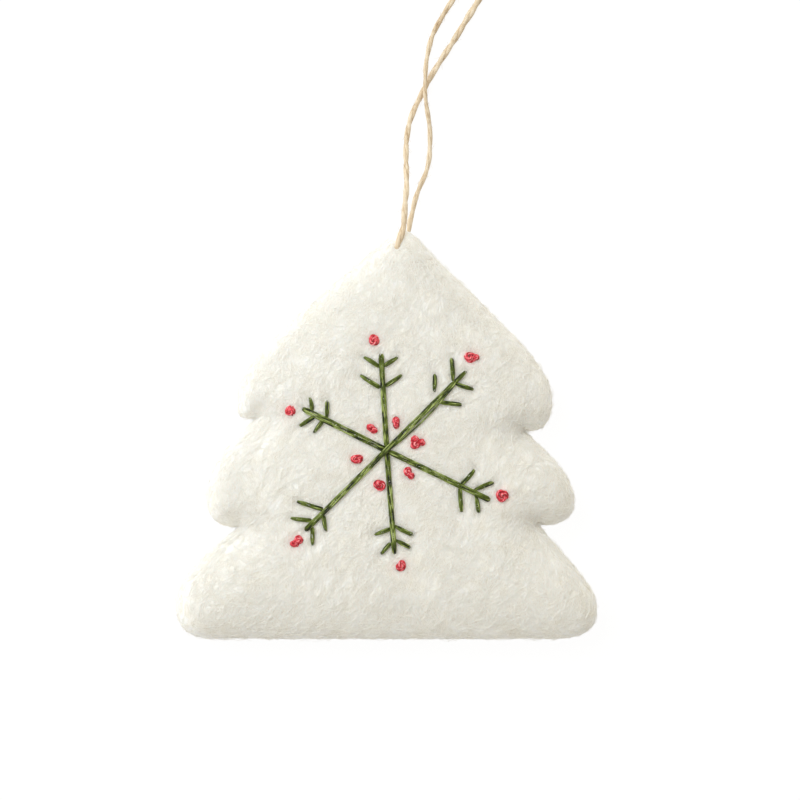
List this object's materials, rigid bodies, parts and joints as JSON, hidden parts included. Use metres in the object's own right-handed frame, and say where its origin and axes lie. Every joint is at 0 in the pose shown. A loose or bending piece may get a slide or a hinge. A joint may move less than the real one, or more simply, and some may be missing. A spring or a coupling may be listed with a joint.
{
  "type": "felt christmas ornament",
  "caption": "Plump wool-felt Christmas tree with an embroidered snowflake, French-knot berries and a knotted twine loop to hang it by.",
  "frame": {"origin": "middle of the tree's width and height, on the surface under its back", "axes": "+X to the right of the tree as seen from its front, +Y to its apex, +Z out of its front"},
  "size_m": [0.11, 0.1972, 0.0218],
  "materials": {
    "wool_felt": "cream white felted wool, matted and softly fuzzy",
    "wool_wadding": "loose cream wool wadding",
    "green_floss": "olive green stranded cotton with a soft sheen",
    "red_floss": "coral red stranded cotton with a soft sheen",
    "twine": "tan two-ply jute twine, hairy and dry"
  },
  "bodies": {
    "ornament": {"felt_front": "wool_felt", "felt_back": "wool_felt", "wool_core": "wool_wadding", "cord_turn": "twine", "arm_diagonal": "green_floss", "arm_diagonal_tip": "green_floss", "arm_top": "green_floss", "arm_left": "green_floss", "arm_bottom": "green_floss", "arm_right": "green_floss", "barb_top_1": "green_floss", "barb_top_2": "green_floss", "barb_top_3": "green_floss", "barb_top_4": "green_floss", "barb_upper_right_1": "green_floss", "barb_upper_right_2": "green_floss", "barb_upper_right_3": "green_floss", "barb_upper_right_4": "green_floss", "barb_left_1": "green_floss", "barb_left_2": "green_floss", "barb_left_3": "green_floss", "barb_left_4": "green_floss", "barb_lower_left_1": "green_floss", "barb_lower_left_2": "green_floss", "barb_lower_left_3": "green_floss", "barb_lower_left_4": "green_floss", "barb_bottom_1": "green_floss", "barb_bottom_2": "green_floss", "barb_bottom_3": "green_floss", "barb_bottom_4": "green_floss", "barb_right_1": "green_floss", "barb_right_2": "green_floss", "barb_right_3": "green_floss", "barb_right_4": "green_floss", "knot_top": "red_floss", "knot_upper_right": "red_floss", "knot_left": "red_floss", "knot_lower_left": "red_floss", "knot_bottom": "red_floss", "knot_right": "red_floss", "knot_inner_1": "red_floss", "knot_inner_2": "red_floss", "knot_inner_3": "red_floss", "knot_inner_4": "red_floss", "knot_inner_5": "red_floss", "knot_inner_6": "red_floss"},
    "hanging_loop": {"cord_front_strand": "twine", "cord_back_strand": "twine", "cord_knot": "twine", "cord_tail_1": "twine", "cord_tail_2": "twine"}
  },
  "joints": [
    {"name": "loop_swing", "type": "hinge", "parent": "ornament", "child": "hanging_loop", "pos_m": [0.00535, 0.0556, 0], "axis": [0, 0, 1], "range_deg": [-60, 100]}
  ]
}
